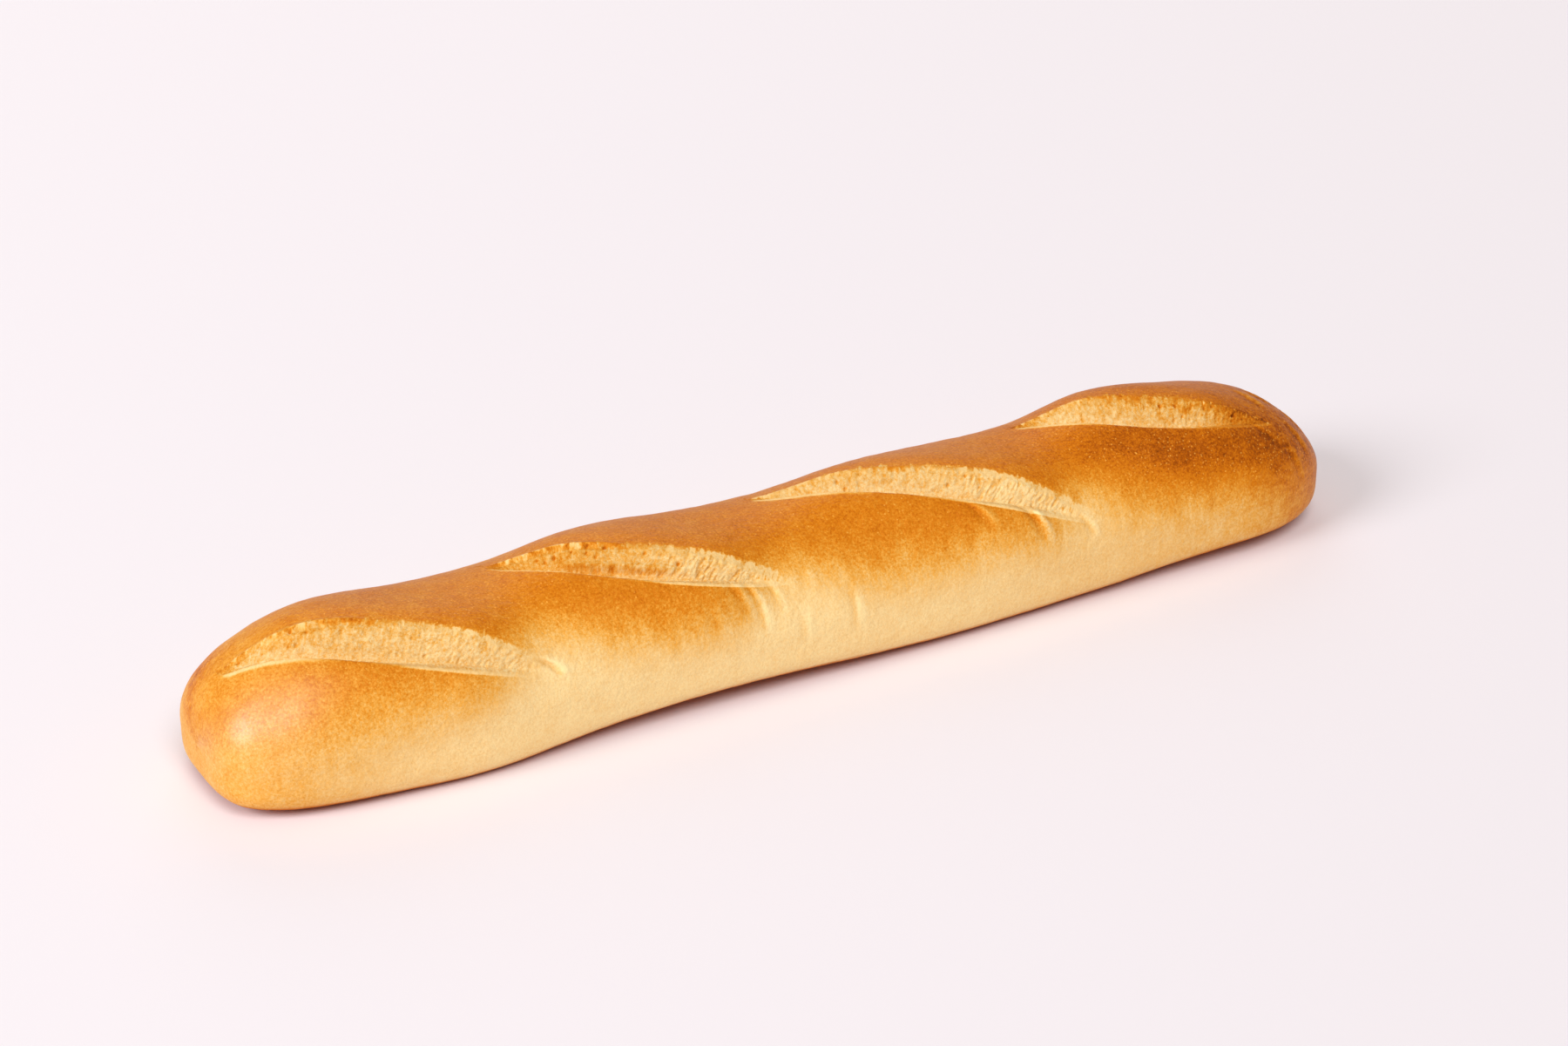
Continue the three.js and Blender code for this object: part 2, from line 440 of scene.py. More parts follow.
# %% [markdown]
# ## How deeply each place is baked
#
# The oven browns what stands highest and leaves the sides pale. So the bake falls with
# the turn from the top: fully browned above one edge, pale below it. The edge dips and
# the pale side darkens towards the right end, which stood in the hottest corner. Crust
# that was stretched beside the stop of a cut stays paler, and a few patches are darker.
# A narrow band in front of the start of a cut and behind its stop came to the surface
# late: this young crust is as pale as the crumb. The ridge beside a fold is paler too, and
# its groove is darkened with painted shade.

# %% Bake along the loaf: (x in mm, value); 0 is pale and 1 dark brown
TOP_BAKE = [(-217, 0.53), (-195, 0.56), (-170, 0.66), (-140, 0.72), (80, 0.75), (110, 0.78),
            (150, 0.82), (190, 0.82), (217, 0.84)]
SIDE_BAKE = [(-217, 0.36), (-200, 0.33), (-180, 0.20), (-160, 0.10), (-130, 0.02), (60, 0.04),
             (100, 0.13), (140, 0.20), (165, 0.32), (180, 0.42), (200, 0.60), (217, 0.65)]
BAKE_EDGE = [(-217, -66), (-190, -71), (-130, -70), (-60, -68), (60, -67), (100, -69),
             (130, -66), (150, -68), (170, -72), (190, -80), (217, -90)]
BAKE_BLUR = 27.0  # degrees on both sides of the edge
STRETCHED = table(("x", "lift", "left", "right"), [  # lift in degrees, reaches in mm
    (-107.5, 20, 14, 25),
    (-18.5, 17, 14, 28),
    (103.5, 18, 12, 16),
])
DARKENED = table(PATCH, [
    (125, -28, 24, 15, 0.16),
    (158, -49, 27, 18, 0.20),
    (190, -52, 20, 24, 0.13),
    (-209, 46, 8, 16, 0.22),
])


def at_stops(x, stops):
    """The value at x, in a straight line from stop to stop."""
    return np.interp(x, *zip(*stops))


def bake_depth(x, turn):
    """How deeply the crust is baked, before any young crust."""
    below_top = np.abs(np.degrees(turn))
    edge = at_stops(x, BAKE_EDGE)
    for place in STRETCHED:
        reach = np.where(x < place["x"], place["left"], place["right"])
        edge = edge + place["lift"] * bell(x - place["x"], reach)
    side = at_stops(x, SIDE_BAKE)
    browned = ease(-below_top, edge - BAKE_BLUR, edge + BAKE_BLUR)
    bake = side + (at_stops(x, TOP_BAKE) - side) * browned
    for patch in DARKENED:
        bake = bake + soft_patch(patch, x, turn)
    return bake


bake = bake_depth(place_x, place_turn)
print("baked from", round(float(bake.min()), 2), "to", round(float(bake.max()), 2))

# %% Young crust, and the paleness and painted shade of the folds
FRONT_RISE, FRONT_FALL = (0.0, 0.06), (0.15, 0.45)  # shares of a cut, in front of it
BACK_RISE = (0.35, 0.75)  # and behind it
FRONT_BLUR, BACK_BLUR = 2.0, 1.0  # how softly each band ends past the opening, mm
FULL_BACK_WIDTH = 3.0  # a narrower band behind a cut is fainter too, mm
PAST_REACH = 4.0  # how far a band runs on past the ends of a cut, mm
GROOVE_SHADE_WIDTH = 0.8
DARKEST_GROOVE, PALEST_RIDGE = -0.25, 0.8


def young_crust(x, turn):
    """1 on late, pale crust beside the torn openings."""
    strongest = np.zeros_like(x)
    for cut in CUTS:
        share, across, opening, past = along_cut(cut, x, SKIN_RADIUS * turn)
        front_width, back_width = cut["young"]
        front = ease(across, -front_width, 0) * (1 - ease(across - opening, 0, FRONT_BLUR))
        back = ease(across, -BACK_BLUR, 0) * (1 - ease(across - opening, 0, back_width))
        front = front * ease(share, *FRONT_RISE) * (1 - ease(share, *FRONT_FALL))
        back = back * ease(share, *BACK_RISE) * min(back_width / FULL_BACK_WIDTH, 1)
        near = np.maximum(front, back) * (1 - ease(past, 0, PAST_REACH))
        strongest = np.maximum(strongest, near)
    return strongest


def fold_paleness_and_shade(x, turn):
    """Over 0 on the stretched ridge beside a fold, which is paler; under 0 in its groove, as
    painted shade.
    """
    total = np.zeros_like(x)
    for fold in FOLDS:
        share, line_x = fold_place(fold, turn)
        aside = (x - line_x) / fold["width"]
        shade = bell(aside - RIDGE_OFFSET, 1) - bell(aside, GROOVE_SHADE_WIDTH)
        total += fold["depth"] * np.sin(np.pi * share) * shade
    return np.clip(total, DARKEST_GROOVE, PALEST_RIDGE)


young = young_crust(place_x, place_turn)
print("corners on young crust:", int((young > 0.5).sum()))

# %% [markdown]
# ## Notes written on the skin
#
# Relief and colour both need to know where they are: how deeply the crust is baked, how
# far the nearest torn opening is, and the place along and across that opening. Such
# notes are attributes, numbers stored at every corner of the mesh, which both Geometry
# Nodes and the finish can read. Three more tell where the underside browned on its
# tray, where the left end has a soft gloss, and where the ends dried into fine wrinkles.

# %% What each cut notes
CUT_SPACING = 40.0  # keeps the patterns of the cuts apart, mm
CRUMB_CHANGE, RIM_CHANGE = (0.1, 0.7), (0.3, 0.7)  # shares of a cut
EAR_SHADE_PLACE, EAR_SHADE_WIDTH = 0.2, 0.7  # behind the opening, mm
LEAST_OPENING = 1.0


def notes_of_cut(cut, share, across, opening):
    """What relief and colour need to know about one cut."""
    crumb_start, crumb_stop = cut["crumb"]
    rim_start, rim_stop = cut["rim"]
    fade_start, fade_stop = cut["fade"]
    at_ends = 1 - ease(share / fade_start) * ease((1 - share) / fade_stop)
    crumb = crumb_start + (crumb_stop - crumb_start) * ease(share, *CRUMB_CHANGE)
    ear_shade = bell(across - opening - EAR_SHADE_PLACE, EAR_SHADE_WIDTH)
    return {
        "torn_up": np.clip(across / np.maximum(opening, LEAST_OPENING), -1, 2),
        "crumb_bake": crumb + (bake - crumb) * at_ends,
        "rim": rim_start + (rim_stop - rim_start) * ease(share, *RIM_CHANGE),
        "fibre_share": cut["fibres"] * ease(share, *LATE_PART),
        # darker edge behind the opening: browned ear crust, and painted shade under its overhang
        "ear": ear_strength(cut, share) * ear_shade,
        "open_share": 1 - ease(share, cut["tail"], 1.0),
    }


nearest = np.full(len(place_x), np.inf)
torn_place = np.zeros((len(place_x), 3))
cut_notes = {}
for number, cut in enumerate(CUTS):
    share, across, opening, past = along_cut(cut, place_x, place_around)
    distance = outside_opening(across, opening, past)
    here = distance < nearest
    nearest = np.where(here, distance, nearest)
    length = math.dist(cut["start"], cut["stop"])
    offset = np.full_like(across, CUT_SPACING * number)
    torn_place[here] = np.stack([share * length, across, offset], axis=-1)[here]
    for name, values in notes_of_cut(cut, share, across, opening).items():
        cut_notes[name] = np.where(here, values, cut_notes.get(name, 0.0))
print("corners inside the openings:", int((nearest < 0).sum()))

# %% The notes
FARTHEST = 20.0  # mm
LEDGE_SHADE_PLACE, LEDGE_SHADE_WIDTH = -0.5, 1.5  # behind the crest, mm
BASE_SLOPES = (0.50, 0.80)  # how far a face of the underside looks down, 0 to 1
GLOSS, LEFT_WRINKLES = table(PATCH, [(-204, -54, 17, 28, 1.0), (-209, 42, 9, 20, 1.5)])
RIGHT_WRINKLES = (160, 200)  # from none to full, as x in mm


def note(name, values, kind="FLOAT"):
    """Store one number, or one vector, at every corner of the loaf."""
    layer = loaf_mesh.attributes.new(name, kind, "POINT")
    layer.data.foreach_set("value" if kind == "FLOAT" else "vector", np.ravel(values))


facing_down = -vectors(loaf_mesh.vertex_normals, "vector")[:, 2]
ledge_strength, behind_ledge = ledge_place(place_x, place_around)
left_wrinkles = soft_patch(LEFT_WRINKLES, place_x, place_turn)

note("bake", bake)
note("young", young)
note("opening_distance", np.clip(nearest, -FARTHEST, FARTHEST))
note("torn_place", torn_place, "FLOAT_VECTOR")
# paler ridges beside the folds, and painted shade in their grooves
note("fold_paleness_and_shade", fold_paleness_and_shade(place_x, place_turn))
# where the ledge gets painted shade, just in front of its crest
note("ledge", ledge_strength * bell(behind_ledge - LEDGE_SHADE_PLACE, LEDGE_SHADE_WIDTH))
note("base", ease(facing_down, *BASE_SLOPES))
note("gloss", soft_patch(GLOSS, place_x, place_turn))
note("wrinkled", ease(place_x, *RIGHT_WRINKLES) + left_wrinkles)
for name, values in cut_notes.items():
    note(name, values)
print("notes:", [layer.name for layer in loaf_mesh.attributes if layer.domain == "POINT"])

# %% [markdown]
# ## Node sums written as plain sums
#
# Both the relief and the finish are networks of small nodes. Plain Python operators keep
# them readable: a `Wire` wraps one output socket, and adding two wires adds the node
# that adds them. Every other node comes from one method, `Bench.node`, which takes its
# type, its settings, and the values or wires of its inputs.

# %% The wire
def sum_method(operation, swapped=False):
    """A method that adds the Math node of one operation."""

    def method(self, other):
        pair = (other, self) if swapped else (self, other)
        return self.bench.node("ShaderNodeMath", {"operation": operation}, dict(enumerate(pair)))

    return method


class Wire:
    """An output socket that can be used in plain sums."""

    def __init__(self, bench, socket):
        self.bench = bench
        self.socket = socket

    def size(self):
        """The value without its sign."""
        return self.bench.node("ShaderNodeMath", {"operation": "ABSOLUTE"}, {0: self})

    def other_output(self, name):
        return Wire(self.bench, self.socket.node.outputs[name])

    __add__ = __radd__ = sum_method("ADD")
    __mul__ = __rmul__ = sum_method("MULTIPLY")
    __sub__, __rsub__ = sum_method("SUBTRACT"), sum_method("SUBTRACT", swapped=True)
    __truediv__, __rtruediv__ = sum_method("DIVIDE"), sum_method("DIVIDE", swapped=True)
    at_most = sum_method("MINIMUM")


print("wires can be summed")


# %% The bench
class Bench:
    """A node tree, and the one method that puts nodes on it."""

    def __init__(self, tree):
        self.tree = tree

    def node(self, kind, settings=None, values=None, output=0):
        """Adds a node, sets it up, and gives a wire from one output, if it has any."""
        made = self.tree.nodes.new(kind)
        for name, setting in (settings or {}).items():
            if name == "stops":
                self.set_stops(made.color_ramp, setting)
            else:
                setattr(made, name, setting)
        for name, value in (values or {}).items():
            if isinstance(value, Wire):
                self.tree.links.new(value.socket, made.inputs[name])
            else:
                made.inputs[name].default_value = value
        return Wire(self, made.outputs[output]) if made.outputs else None

    @staticmethod
    def set_stops(band, stops):
        for index, (position, colour) in enumerate(stops):
            stop = band.elements[index] if index < 2 else band.elements.new(position)
            stop.position = position
            stop.color = colour

    def rise(self, value, start, stop, low=0.0, high=1.0):
        """A smooth rise from low to high as value goes from start to stop."""
        settings = {"interpolation_type": "SMOOTHSTEP"}
        values = dict(enumerate([value, start, stop, low, high]))
        return self.node("ShaderNodeMapRange", settings, values)

    def part(self, vector, index):
        """One of the three numbers of a place or a colour."""
        return self.node("ShaderNodeSeparateXYZ", {}, {0: vector}, index)

    def stretch(self, place, factors, shift=(0, 0, 0)):
        """A place times three factors, then shifted; under 1 draws a pattern out."""
        settings = {"operation": "MULTIPLY_ADD"}
        return self.node("ShaderNodeVectorMath", settings, {0: place, 1: factors, 2: shift})

    def scale(self, vector, factor):
        """A vector made longer, or a colour made brighter, by one factor."""
        settings = {"operation": "SCALE"}
        return self.node("ShaderNodeVectorMath", settings, {0: vector, "Scale": factor})

    def noise(self, place, size, detail=2.0, roughness=0.5, distortion=0.0):
        """Soft noise from about -1 to 1, with lumps of a size."""
        values = {"Vector": place, "Scale": 1 / size, "Detail": detail}
        values |= {"Roughness": roughness, "Distortion": distortion}
        return self.node("ShaderNodeTexNoise", {}, values) * 2 - 1

    def dots(self, place, spacing, radius, chance):
        """Soft round dots, at most one in each cell; radius is a share of the spacing."""
        values = {"Vector": place, "Scale": 1 / spacing}
        distance = self.node("ShaderNodeTexVoronoi", {}, values, "Distance")
        luck = self.part(distance.other_output("Color"), 0)
        return self.rise(distance, radius, radius * 0.4) * self.rise(luck, 1 - chance, 1.0)

    def blend(self, factor, first, second):
        """The first colour, turning into the second as factor goes from 0 to 1."""
        settings = {"data_type": "RGBA", "blend_type": "MIX"}
        return self.node("ShaderNodeMix", settings, {0: factor, 6: first, 7: second}, 2)


print("the bench makes:", [name for name in vars(Bench) if not name.startswith("_")])

# %% [markdown]
# ## Torn crumb and puckered crust, with Geometry Nodes
#
# Inside an opening the dough tore into soft lumps, with open bubbles between them, and
# towards the stop of a cut into short fibres that run up the slope. Close to the lip it
# was only drawn out into fine strands. On the crust are low waves and tiny pebbles. All
# of these follow a rule and repeat, so a Geometry Nodes tree pushes the corners in and
# out along their normals, which sculpting by hand could not do so evenly. Its named
# inputs are the sizes that one may want to change.

# %% The relief tree and its named inputs
RELIEF_SIZES = {
    "Lump height": 0.5 * mm,
    "Lump spacing": 2.3 * mm,
    "Fibre height": 0.50 * mm,
    "Fibre spacing": 1.8 * mm,
    "Strand height": 0.22 * mm,
    "Bubble depth": 0.8 * mm,
    "Bubble spacing": 2.8 * mm,
    "Grain height": 0.24 * mm,
    "Wave height": 0.35 * mm,
    "Bump height": 0.16 * mm,
}
RELIEF_SEED = 7

relief_tree = bpy.data.node_groups.new("torn_crumb_and_crust", "GeometryNodeTree")
input_kinds = {"Geometry": "Geometry", **dict.fromkeys(RELIEF_SIZES, "Float")}
input_kinds |= {"Seed": "Int", "Finish": "Material"}
for name, kind in input_kinds.items():
    relief_tree.interface.new_socket(name, in_out="INPUT", socket_type="NodeSocket" + kind)
relief_tree.interface.new_socket("Geometry", in_out="OUTPUT", socket_type="NodeSocketGeometry")
bench = Bench(relief_tree)
group_input = bench.node("NodeGroupInput").socket.node
given = {socket.name: Wire(bench, socket) for socket in group_input.outputs}


def relief_note(name, kind="FLOAT"):
    return bench.node("GeometryNodeInputNamedAttribute", {"data_type": kind}, {"Name": name})


seed_shift = bench.node("ShaderNodeCombineXYZ", {}, {0: given["Seed"], 1: given["Seed"] * 2})
position = bench.node("GeometryNodeInputPosition")
skin_map = bench.stretch(position, (1, 1, 1), seed_shift)
cut_map = bench.stretch(relief_note("torn_place", "FLOAT_VECTOR"), (mm, mm, mm), seed_shift)
print("inputs of the relief:", list(input_kinds))

# %% [markdown]
# The height of the crumb is a sum of four patterns on the map of the cut, which gives
# the place along it and up its slope. Stretching the map before a noise reads it draws
# the pattern out, up the slope for fibres and along the cut for strands.

# %% Height of the torn crumb
CRUMB_RISE = (0.8, -1.2)  # from none to full, as mm outside the opening
LIP_PART = (0.45, 0.1)  # shares of the slope between which strands take over
FIBRE_LEAN = 0.35  # radians
FIBRE_STRETCH, STRAND_STRETCH = (1.0, 0.3, 1.0), (0.07, 1.0, 1.0)
FIBRE_WAVE = 0.6
STRAND_SIZE, CRUMB_GRAIN_SIZE = 0.9 * mm, 1.1 * mm
BUBBLE_RADIUS, BUBBLE_CHANCE = 0.34, 0.5
BUBBLE_PART = (0.15, 0.5)  # shares of the slope

slope = relief_note("torn_up")
fibre_share = relief_note("fibre_share")
near_lip = bench.rise(slope, *LIP_PART)
inside = bench.rise(relief_note("opening_distance"), *CRUMB_RISE) * relief_note("open_share")

lumps = bench.noise(cut_map, given["Lump spacing"], 2, 0.55)
turned = {"Vector": cut_map, "Angle": FIBRE_LEAN}
leaning = bench.node("ShaderNodeVectorRotate", {"rotation_type": "Z_AXIS"}, turned)
fibre_map = bench.stretch(leaning, FIBRE_STRETCH)
fibres = 1 - bench.noise(fibre_map, given["Fibre spacing"], 1, 0.5, FIBRE_WAVE).size() * 3
strands = bench.noise(bench.stretch(cut_map, STRAND_STRETCH), STRAND_SIZE, 1)
grain = bench.noise(cut_map, CRUMB_GRAIN_SIZE, 2, 0.6)
bubbles = bench.dots(cut_map, given["Bubble spacing"], BUBBLE_RADIUS, BUBBLE_CHANCE)
bubbles *= bench.rise(slope, *BUBBLE_PART)

crumb = lumps * given["Lump height"] * (1 - fibre_share * 0.6) * (1 - near_lip * 0.5)
crumb += fibres * given["Fibre height"] * fibre_share * (1 - near_lip * 0.7)
crumb += strands * given["Strand height"] * near_lip
crumb += grain * given["Grain height"]
print(len(bench.tree.nodes), "nodes so far")

# %% [markdown]
# The crust has its own, larger patterns. Both heights fade out just above the base,
# which has to stay flat. The tree also stores the height of the crumb and its bubbles
# as notes, so that the colour can paint light on the crests and shade in the hollows
# and bubbles.

# %% Height of the crust, and the push that moves the corners
WAVE_SIZE, BUMP_SIZE = 28 * mm, 5.5 * mm
BASE_MARGIN = 3 * mm
CREST_UNIT = 0.5 * mm  # the crumb height that is noted down as 1

waves = bench.noise(skin_map, WAVE_SIZE, 2) * given["Wave height"]
bumps = bench.noise(skin_map, BUMP_SIZE, 1) * given["Bump height"]
height = inside * (crumb - bubbles * given["Bubble depth"]) + waves + (1 - inside) * bumps
above_base = bench.rise(bench.part(position, 2), 0.0, BASE_MARGIN)
push = bench.scale(bench.node("GeometryNodeInputNormal"), height * above_base)


def stored(geometry, name, value):
    settings = {"data_type": "FLOAT", "domain": "POINT"}
    values = {"Geometry": geometry, "Name": name, "Value": value}
    return bench.node("GeometryNodeStoreNamedAttribute", settings, values)


shape = stored(given["Geometry"], "crumb_crest", crumb / CREST_UNIT)
shape = stored(shape, "bubbles", bubbles)
shape = bench.node("GeometryNodeSetPosition", {}, {"Geometry": shape, "Offset": push})
shape = bench.node("GeometryNodeRealizeInstances", {}, {"Geometry": shape})
shape_finish = {"Geometry": shape, "Material": given["Finish"]}
shape = bench.node("GeometryNodeSetMaterial", {}, shape_finish)
bench.node("NodeGroupOutput", {}, {"Geometry": shape})
print("relief tree with", len(relief_tree.nodes), "nodes")

# %% [markdown]
# ## The colours of baking
#
# Bread changes colour along one path as it bakes, from cream through gold to dark brown,
# so a single ramp serves the whole loaf and one number, the bake, picks from it. Every
# mark only changes that number, and never gets a colour that bread doesn't have.

# %% Colours
def linear(red, green, blue):
    """A colour given as on screen, 0 to 255, turned into light."""
    shares = [part / 255 for part in (red, green, blue)]
    return [s / 12.92 if s <= 0.04045 else ((s + 0.055) / 1.055) ** 2.4 for s in shares] + [1.0]


BAKE_COLOURS = [
    (-0.15, (255, 228, 164)),
    (0.00, (253, 219, 155)),
    (0.15, (246, 201, 129)),
    (0.30, (241, 183, 96)),
    (0.43, (235, 165, 66)),
    (0.57, (226, 144, 40)),
    (0.71, (215, 124, 18)),
    (0.85, (203, 110, 10)),
    (1.00, (174, 84, 3)),
    (1.20, (126, 56, 2)),
]
PALEST, DARKEST = BAKE_COLOURS[0][0], BAKE_COLOURS[-1][0]
BAKE_SPAN = DARKEST - PALEST
BAKE_RAMP = [((value - PALEST) / BAKE_SPAN, linear(*colour)) for value, colour in BAKE_COLOURS]
BLISTER = linear(248, 176, 74)
BASE_COLOUR = linear(198, 98, 4)
# colour of the painted shade laid evenly over the crumb, for its gaps
CRUMB_PAINTED_SHADE = linear(190, 120, 50)
print("bake from", PALEST, "to", DARKEST, "in", len(BAKE_RAMP), "colours")

# %% [markdown]
# ## The finish, from the notes
#
# One finish covers the whole loaf, because crust and crumb flow into one another. Its
# patterns on the crust read the Object coordinates, which are the loaf's own metres,
# and those in the crumb read the map of the cut.
#
# The young crust is stretched dough that ends in torn fingers behind a cut, so two
# noises break its edge up there. Its bake is held down to that of pale dough.

# %% The finish begins with the young crust
YOUNG_BAKE = 0.14
RAGGED_SIZE, FINGER_SIZE, FINGER_STRETCH = 2.2 * mm, 2.0 * mm, (1.0, 0.35, 1.0)
BEHIND_PART = (0.35, 0.65)  # shares of the slope from the front of a cut to its back
FINGER_PULL, RAGGED_PULL = 3.0, 1.6
YOUNG_RISE = (0.1, 0.75)

crust_finish = bpy.data.materials.new("baked_crust_and_crumb")
crust_finish.use_nodes = True
easel = Bench(crust_finish.node_tree)
easel.tree.nodes.clear()


def finish_note(name, output="Fac"):
    return easel.node("ShaderNodeAttribute", {"attribute_name": name}, output=output)


place = easel.node("ShaderNodeTexCoord", output="Object")
torn_map = easel.stretch(finish_note("torn_place", "Vector"), (mm, mm, mm))
up = finish_note("torn_up")
ragged = easel.noise(torn_map, RAGGED_SIZE, 3, 0.65)
fingers = easel.noise(easel.stretch(torn_map, FINGER_STRETCH), FINGER_SIZE, 2, 0.6)
behind = easel.rise(up, *BEHIND_PART)

torn_edge = 1 + behind * (fingers * FINGER_PULL + ragged * RAGGED_PULL)
young_share = easel.rise(finish_note("young") * torn_edge, *YOUNG_RISE)
oven_bake = finish_note("bake")
even_bake = oven_bake + (oven_bake.at_most(YOUNG_BAKE) - oven_bake) * young_share
print(len(easel.tree.nodes), "nodes so far")

# %% [markdown]
# ## Marks on the crust
#
# No crust is evenly brown. It has soft patches, mottling, and a grain that is stronger
# where it is browner. On the sides, where brown turns to pale, the dough was drawn up
# into faint streaks, and the wrinkles of the ends run along the loaf. Each mark is a
# noise times a strength, added to the bake.

# %% How baked the crust looks
BROWNED_RISE = (0.1, 0.5)
PATCH_SIZE, PATCH_STRENGTH = 30 * mm, 0.12
MOTTLE_SIZE, MOTTLE_STRENGTH, MOTTLE_ON_BROWN = 5 * mm, 0.09, 0.06
GRAIN_SIZE, GRAIN_STRENGTH, GRAIN_ON_BROWN = 0.95 * mm, 0.26, 0.30
STREAK_SIZE, STREAK_STRENGTH, STREAK_STRETCH = 4 * mm, 0.20, (1.0, 0.16, 0.16)
STREAKS_FROM, STREAKS_TO, FEWEST_STREAKS = -0.13, -0.05, 0.35  # places along the loaf, m
WRINKLE_SIZE, WRINKLE_STRENGTH, WRINKLE_STRETCH = 2.4 * mm, 0.34, (0.22, 1.0, 1.0)
FOLD_STRENGTH = 0.42

browned = easel.rise(even_bake, *BROWNED_RISE)
patches = easel.noise(place, PATCH_SIZE, 2) * PATCH_STRENGTH
patches *= easel.rise(even_bake, 0.0, 0.3, 0.3, 1.0)
mottling = easel.noise(place, MOTTLE_SIZE, 3, 0.6) * (MOTTLE_STRENGTH + MOTTLE_ON_BROWN * browned)
crust_grain = easel.noise(place, GRAIN_SIZE, 4, 0.8) * (GRAIN_STRENGTH + GRAIN_ON_BROWN * browned)

along = easel.part(place, 0)
half_baked = easel.rise(even_bake, 0.08, 0.3) * easel.rise(even_bake, 0.75, 0.5)
half_baked *= easel.rise(along, STREAKS_FROM, STREAKS_TO, FEWEST_STREAKS, 1.0)
streaks = easel.noise(easel.stretch(place, STREAK_STRETCH), STREAK_SIZE, 2, 0.6)
streaks *= STREAK_STRENGTH * half_baked
wrinkles = easel.noise(easel.stretch(place, WRINKLE_STRETCH), WRINKLE_SIZE, 2, 0.6)
wrinkles *= WRINKLE_STRENGTH * finish_note("wrinkled")

crust_bake = even_bake + wrinkles + patches + mottling + crust_grain + streaks
# paler ridges beside the folds, and painted shade in their grooves
crust_bake = crust_bake - finish_note("fold_paleness_and_shade") * FOLD_STRENGTH
print(len(easel.tree.nodes), "nodes so far")

# %% [markdown]
# ## Where the crumb shows
#
# In front, the opening ends in a clean line under the lip. Behind, the torn dough runs
# out over the crust in fingers, so its edge there is wide and broken up by noise. One
# share, 0 on crust and 1 on crumb, holds both edges.

# %% The share of crumb
WIDE_EDGE, NARROW_EDGE = (2.2, -1.8), (0.1, -1.3)  # mm outside the opening
TAIL_EDGE = (0.1, 0.7)

distance = finish_note("opening_distance")
wide_edge = easel.rise(distance + ragged * 2.0 + fingers * 6.5, *WIDE_EDGE)
narrow_edge = easel.rise(distance + ragged * 0.7, *NARROW_EDGE)
torn_share = narrow_edge + (wide_edge - narrow_edge) * behind
open_share = finish_note("open_share") + fingers * 0.7 + ragged * 0.4
torn_share *= easel.rise(open_share, *TAIL_EDGE)
print(len(easel.tree.nodes), "nodes so far")

# %% [markdown]
# ## The crumb
#
# The torn crumb is only lightly baked. Its crests get painted light, and its gaps and
# bubbles painted shade. It darkens towards the crust behind it, the rim, which gives the
# opening a soft golden edge. The broken edge of the ear is dark as well, partly browned
# and partly painted shade under it, and the ledge gets painted shade in front of its crest.

# %% How baked the crumb looks
SPECKLE_SIZE, SPECKLE_STRENGTH = 1.0 * mm, 0.85
CLUMP_SIZE, CLUMP_STRENGTH = 4.5 * mm, 0.22
CREST_PAINTED_LIGHT_AND_SHADE, BUBBLE_SHADE = 0.22, 0.4
RIM_PART = (0.45, 1.1)  # shares of the slope
LEDGE_SHADE, LEDGE_CREST_PAINTED_LIGHT = 0.20, 0.30
EAR_BREAK_SIZE, EAR_BREAK, EAR_SHADE = 2.6 * mm, (-0.2, 0.25), 0.42

crest = finish_note("crumb_crest")
speckle = easel.noise(torn_map, SPECKLE_SIZE, 4, 0.85)
clumps = easel.noise(torn_map, CLUMP_SIZE, 2, 0.6)
# painted light on the crests of the crumb, and painted shade in its hollows and bubbles
crumb_bake = finish_note("crumb_bake") - crest * CREST_PAINTED_LIGHT_AND_SHADE
crumb_bake += finish_note("bubbles") * BUBBLE_SHADE
crumb_bake += speckle * SPECKLE_STRENGTH + clumps * CLUMP_STRENGTH
rim = easel.rise(up + fingers * 0.7 + ragged * 0.2, *RIM_PART)
crumb_bake += rim * finish_note("rim")
# painted shade in front of the ledge's crest, with painted light on the crest itself
ledge_shade = LEDGE_SHADE - crest * LEDGE_CREST_PAINTED_LIGHT
crumb_bake += finish_note("ledge") * ledge_shade
# the broken edge of the ear darker: browned crust, and painted shade under its overhang
broken = easel.rise(easel.noise(torn_map, EAR_BREAK_SIZE, 3, 0.6), *EAR_BREAK)
ear_shade = finish_note("ear") * broken * EAR_SHADE
print(len(easel.tree.nodes), "nodes so far")

# %% [markdown]
# ## From bake to colour
#
# The ramp turns the joined bake into colour. Over it go the blisters, tiny pale bubbles
# under the browned skin, finer and more of them near the ends. The crumb gets a little
# painted shade all over, for its gaps. Last, a very fine noise makes the colour a little
# lighter and darker, and on the crumb painted light and shade follow its speckled relief
# and crests, and darken it a little overall.

# %% Colour of the loaf
BLISTER_DOTS = (1.7 * mm, 0.24, 0.5)  # spacing, radius as a share of it, and chance
FINE_BLISTER_DOTS = (1.2 * mm, 0.3, 0.8)
NEAR_ENDS = (0.07, 0.14)  # distances from the middle, m
BLISTER_STRENGTH, CRUMB_PAINTED_SHADE_STRENGTH = 0.75, 0.05
TINY_SIZE, TINY_STRENGTH = 0.5 * mm, 0.06

whole_bake = crust_bake + (crumb_bake - crust_bake) * torn_share + ear_shade
scaled_bake = (whole_bake - PALEST) / BAKE_SPAN
colour = easel.node("ShaderNodeValToRGB", {"stops": BAKE_RAMP}, {0: scaled_bake})

fine_blisters = easel.dots(place, *FINE_BLISTER_DOTS) * easel.rise(along.size(), *NEAR_ENDS)
blisters = easel.dots(place, *BLISTER_DOTS) + fine_blisters
blisters *= browned * (1 - torn_share) * BLISTER_STRENGTH
colour = easel.blend(blisters, colour, BLISTER)
# painted shade: the whole crumb a little darker, for the shade in its gaps
colour = easel.blend(torn_share * CRUMB_PAINTED_SHADE_STRENGTH, colour, CRUMB_PAINTED_SHADE)

